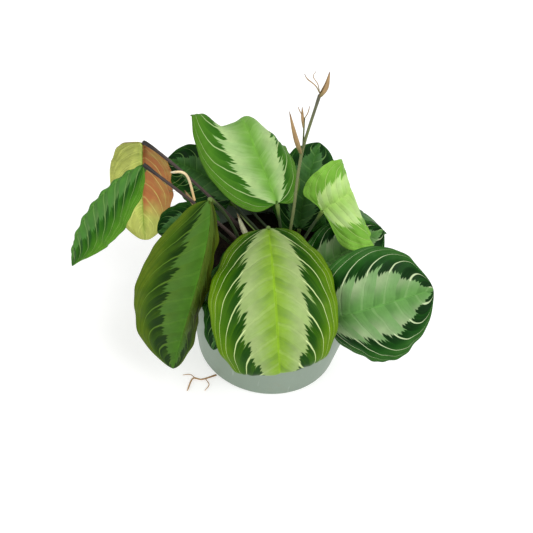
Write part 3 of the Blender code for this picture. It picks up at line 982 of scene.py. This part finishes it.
def make_lathe_tree():
    """Turns a profile line about the upright axis, roughens its top and drills a ring of holes."""
    group = bpy.data.node_groups.new("turned_profile", "GeometryNodeTree")
    given = given_inputs(
        group, Geometry=["Profile"], Int=["Profile points", "Sides", "Hole count"],
        Float=["Top height", "Relief", "Hole circle", "Hole radius"], Material=["Material"])
    columns = given["Sides"] + 1.0
    grid = node(group, "GeometryNodeMeshGrid", [1.0, 1.0, given["Profile points"], columns])
    index = node(group, "GeometryNodeInputIndex")
    row = (index / columns + 0.0001).math("FLOOR")
    column = index - row * columns
    place = node(group, "GeometryNodeInputPosition")
    sample = node(group, "GeometryNodeSampleIndex", data_type="FLOAT_VECTOR",
                  inputs={"Geometry": given["Profile"], "Value": place, "Index": row})
    radius, _, height = parts(sample)
    angle = column * (2 * math.pi) / given["Sides"]
    turned = joined(radius * angle.math("COSINE"), radius * angle.math("SINE"), height)
    shape = node(group, "GeometryNodeSetPosition", {"Geometry": grid, "Position": turned})
    shape = node(group, "GeometryNodeMergeByDistance", {"Geometry": shape, "Distance": 0.00001})
    now = node(group, "GeometryNodeInputPosition")
    lumps = grain(now, 90.0, 5.0, 0.62) - 0.5
    near_top = parts(now)[2].rise(given["Top height"] - 0.003, given["Top height"])
    lift = lumps * given["Relief"] * near_top
    shape = node(group, "GeometryNodeSetPosition",
                 {"Geometry": shape, "Offset": joined(0.0, 0.0, lift)})
    ring = node(group, "GeometryNodeMeshCircle",
                {"Vertices": given["Hole count"], "Radius": given["Hole circle"]})
    drill = node(group, "GeometryNodeMeshCylinder",
                 {"Vertices": 32, "Radius": given["Hole radius"], "Depth": DRILL_DEPTH})
    drills = node(group, "GeometryNodeInstanceOnPoints", {"Points": ring, "Instance": drill})
    drills = node(group, "GeometryNodeRealizeInstances", [drills])
    shape = node(group, "GeometryNodeMeshBoolean", {"Mesh 1": shape, "Mesh 2": drills},
                 operation="DIFFERENCE")
    bends = node(group, "GeometryNodeInputMeshEdgeAngle").math("GREATER_THAN", SHARP_BEND)
    shape = node(group, "GeometryNodeSetShadeSmooth", {"Geometry": shape, "Shade Smooth": True})
    shape = node(group, "GeometryNodeSetShadeSmooth",
                 {"Geometry": shape, "Selection": bends, "Shade Smooth": False}, domain="EDGE")
    return finish_tree(group, shape, given["Material"])


def make_scatter_tree():
    """Loose pieces strewn over the upward faces of a surface, each turned and sized by chance."""
    group = bpy.data.node_groups.new("strewn_pieces", "GeometryNodeTree")
    given = given_inputs(
        group, Geometry=["Surface"], Float=["Per square metre", "Size", "Flatness"],
        Int=["Seed"], Material=["Material"])
    up = parts(node(group, "GeometryNodeInputNormal"))[2]
    points = node(group, "GeometryNodeDistributePointsOnFaces", {
        "Mesh": given["Surface"], "Selection": up.math("GREATER_THAN", FACING_UP),
        "Density": given["Per square metre"], "Seed": given["Seed"]})
    lump = node(group, "GeometryNodeMeshIcoSphere", {"Radius": 1.0, "Subdivisions": 1})
    place = node(group, "GeometryNodeInputPosition")
    dents = grain(place, 1.4, 2.0) * 0.9 + 0.55
    dented = node(group, "ShaderNodeVectorMath", {0: place, "Scale": dents}, operation="SCALE")
    lump = node(group, "GeometryNodeSetPosition", {"Geometry": lump, "Position": dented})
    lump = node(group, "GeometryNodeSetShadeSmooth", {"Geometry": lump, "Shade Smooth": False})
    turn = node(group, "FunctionNodeRandomValue", data_type="FLOAT_VECTOR",
                inputs={0: (0, 0, 0), 1: FULL_TURNS, "Seed": given["Seed"]})
    size = node(group, "FunctionNodeRandomValue", {2: 0.35, 3: 1.0, "Seed": given["Seed"]}, 1)
    size = size * given["Size"]
    scale = joined(size, size * 0.7, size * given["Flatness"])
    lumps = node(group, "GeometryNodeInstanceOnPoints",
                 {"Points": points, "Instance": lump, "Rotation": turn, "Scale": scale})
    return finish_tree(group, lumps, given["Material"])


def make_pot_plastic():
    """Matte grey-green plastic with faint clouding, fine grain and upright scuffs."""
    material, tree, shader = new_material("pot_plastic", Specular_IOR_Level=0.35)
    place = object_place(tree)
    cloud = grain(place, 22.0, 3.0) - 0.5
    fine = grain(place, 900.0, 3.0) - 0.5
    scuff = grain(stretched(place, (240.0, 240.0, 14.0)), 1.0, 4.0).rise(0.62, 0.74)
    dust = grain(place, 60.0, 5.0, 0.65).rise(0.6, 0.85)
    colour = mixed(cloud * 0.8 + 0.5, paint(112, 128, 112), paint(130, 146, 130))
    colour = mixed(scuff * 0.3, colour, paint(204, 212, 202))
    colour = mixed(dust * 0.3, colour, paint(140, 132, 112))
    roughness = 0.46 + 0.14 * scuff + 0.12 * dust + 0.1 * fine
    plug(shader, colour, roughness, fine * 0.6 + scuff * 0.5 + cloud * 0.6, 0.0001)
    return material


# Earthy matter: its dark and its light colour.
EARTH = {
    "peat": ((18, 14, 10), (46, 34, 24)),
    "bark": ((40, 26, 16), (104, 72, 46)),
    "perlite": ((176, 172, 160), (226, 222, 212)),
}


def make_earth_material(name, dark, light):
    """Earthy matter: a mottle of two colours over coarse and fine grain."""
    material, tree, shader = new_material(name, Specular_IOR_Level=0.2)
    place = object_place(tree)
    coarse = grain(place, 240.0, 4.0, 0.6)
    fine = grain(place, 1500.0, 4.0, 0.65)
    fibre = grain(stretched(place, (300.0, 1800.0, 900.0)), 1.0, 3.0)
    mottle = (coarse * 1.2 + fibre * 0.6 - 0.5).rise(0.15, 0.75)
    colour = shaded(mixed(mottle, paint(*dark), paint(*light)), fine * 0.7 + 0.65)
    plug(shader, colour, 0.88 + 0.1 * fine, coarse + fine * 0.6 + fibre * 0.4, 0.0006)
    return material


def wall_radius(z):
    """Outer radius of the plain tapered wall at height z."""
    return BASE_RADIUS + (RIM_RADIUS - COLLAR_STEP - BASE_RADIUS) * z / POT_HEIGHT


def rounded(profile, radius):
    """A profile with each inner corner rounded, by less than the radius where a side is short."""
    p = [np.array(q, float) for q in profile]
    line = [p[0]]
    for a, b, c in zip(p, p[1:], p[2:]):
        cut = min(radius, 0.45 * np.linalg.norm(b - a), 0.45 * np.linalg.norm(c - b))
        first = b + cut * (a - b) / np.linalg.norm(a - b)
        last = b + cut * (c - b) / np.linalg.norm(c - b)
        for t in np.linspace(0, 1, CORNER_STEPS):
            line.append((1 - t) ** 2 * first + 2 * t * (1 - t) * b + t**2 * last)
    return [*line, p[-1]]


def close_spaced(profile, step):
    """The same line with a point at least every step."""
    line = [np.array(profile[0], float)]
    for a, b in zip(profile, profile[1:]):
        a, b = np.array(a, float), np.array(b, float)
        count = max(1, math.ceil(np.linalg.norm(b - a) / step))
        line += [a + (b - a) * (k + 1) / count for k in range(count)]
    return line


def make_turned(name, tree, profile, sides, material, relief, hole):
    """A turned piece from radius and height pairs in millimetres, with holes of a radius."""
    points = [(r, 0, z) for r, z in profile]
    return grow(name, tree, line_mesh(name, points), **{
        "Profile points": len(points), "Sides": sides, "Top height": SOIL_TOP * MM,
        "Relief": relief * MM, "Hole count": DRAIN_COUNT, "Hole circle": DRAIN_CIRCLE * MM,
        "Hole radius": hole * MM, "Material": material,
    })


def make_pot(tree):
    collar = POT_HEIGHT - COLLAR_HEIGHT
    slope, inner, outer = (BASE_RADIUS - inset for inset in FOOT_RING)
    profile = [
        (0, FOOT_RISE), (slope, FOOT_RISE), (inner, 0), (outer, 0), (wall_radius(1), 1),
        (wall_radius(collar), collar), (wall_radius(collar) + COLLAR_STEP, collar + COLLAR_SLOPE),
        (RIM_RADIUS, POT_HEIGHT - LIP_DROP), (RIM_RADIUS - LIP_INSET, POT_HEIGHT),
        (RIM_RADIUS - COLLAR_STEP - WALL, POT_HEIGHT), (wall_radius(FLOOR) - WALL, FLOOR),
        (0, FLOOR),
    ]
    profile = close_spaced(rounded(profile, CORNER_RADIUS), POT_SPACING)
    plastic = make_pot_plastic()
    settle(make_turned("pot_shell", tree, profile, POT_SIDES, plastic, 0.0, DRAIN_RADIUS),
           "pot", "pot")


# Loose matter on the soil: pieces per square metre, size in metres, flatness, seed and matter.
STREWN = {
    "peat_crumbs": (150000.0, 0.0011, 0.8, 3, "peat"),
    "bark_chips": (16000.0, 0.0030, 0.3, 5, "bark"),
    "perlite_grains": (9000.0, 0.0013, 0.9, 8, "perlite"),
}


def make_soil(tree, strew):
    earth = {name: make_earth_material(name, *colours) for name, colours in EARTH.items()}
    bottom = FLOOR + GAP
    edge = SOIL_TOP - SOIL_EDGE_DROP
    side = wall_radius(edge) - WALL - SOIL_CLEARANCE
    low = wall_radius(bottom) - WALL - SOIL_CLEARANCE
    shoulder = (side - SOIL_EDGE_WIDTH, SOIL_TOP)
    profile = close_spaced([(0, bottom), (low, bottom), (side, edge), shoulder], SOIL_SPACING)
    profile += close_spaced([shoulder, (0, SOIL_TOP)], SOIL_TOP_SPACING)[1:]
    soil = make_turned("soil_body", tree, profile, SOIL_SIDES, earth["peat"], SOIL_RELIEF,
                       PIN_PRICK)
    settle(soil, "soil", "soil")
    for name, (density, size, flatness, seed, matter) in STREWN.items():
        loose = grow(name, strew, soil.data.copy(), **{
            "Per square metre": density, "Size": size, "Flatness": flatness, "Seed": seed,
            "Material": earth[matter],
        })
        settle(loose, "soil")


make_view()
make_studio()
make_leaves()
stem_tree = make_tube_tree()
stem_finishes = {name: stem_material(name, *colours) for name, colours in STEM_COLOURS.items()}
make_leaf_stalks(stem_tree, stem_finishes)
make_stems(stem_tree, stem_finishes)
make_husks(stem_finishes)
lathe_tree = make_lathe_tree()
make_pot(lathe_tree)
make_soil(lathe_tree, make_scatter_tree())
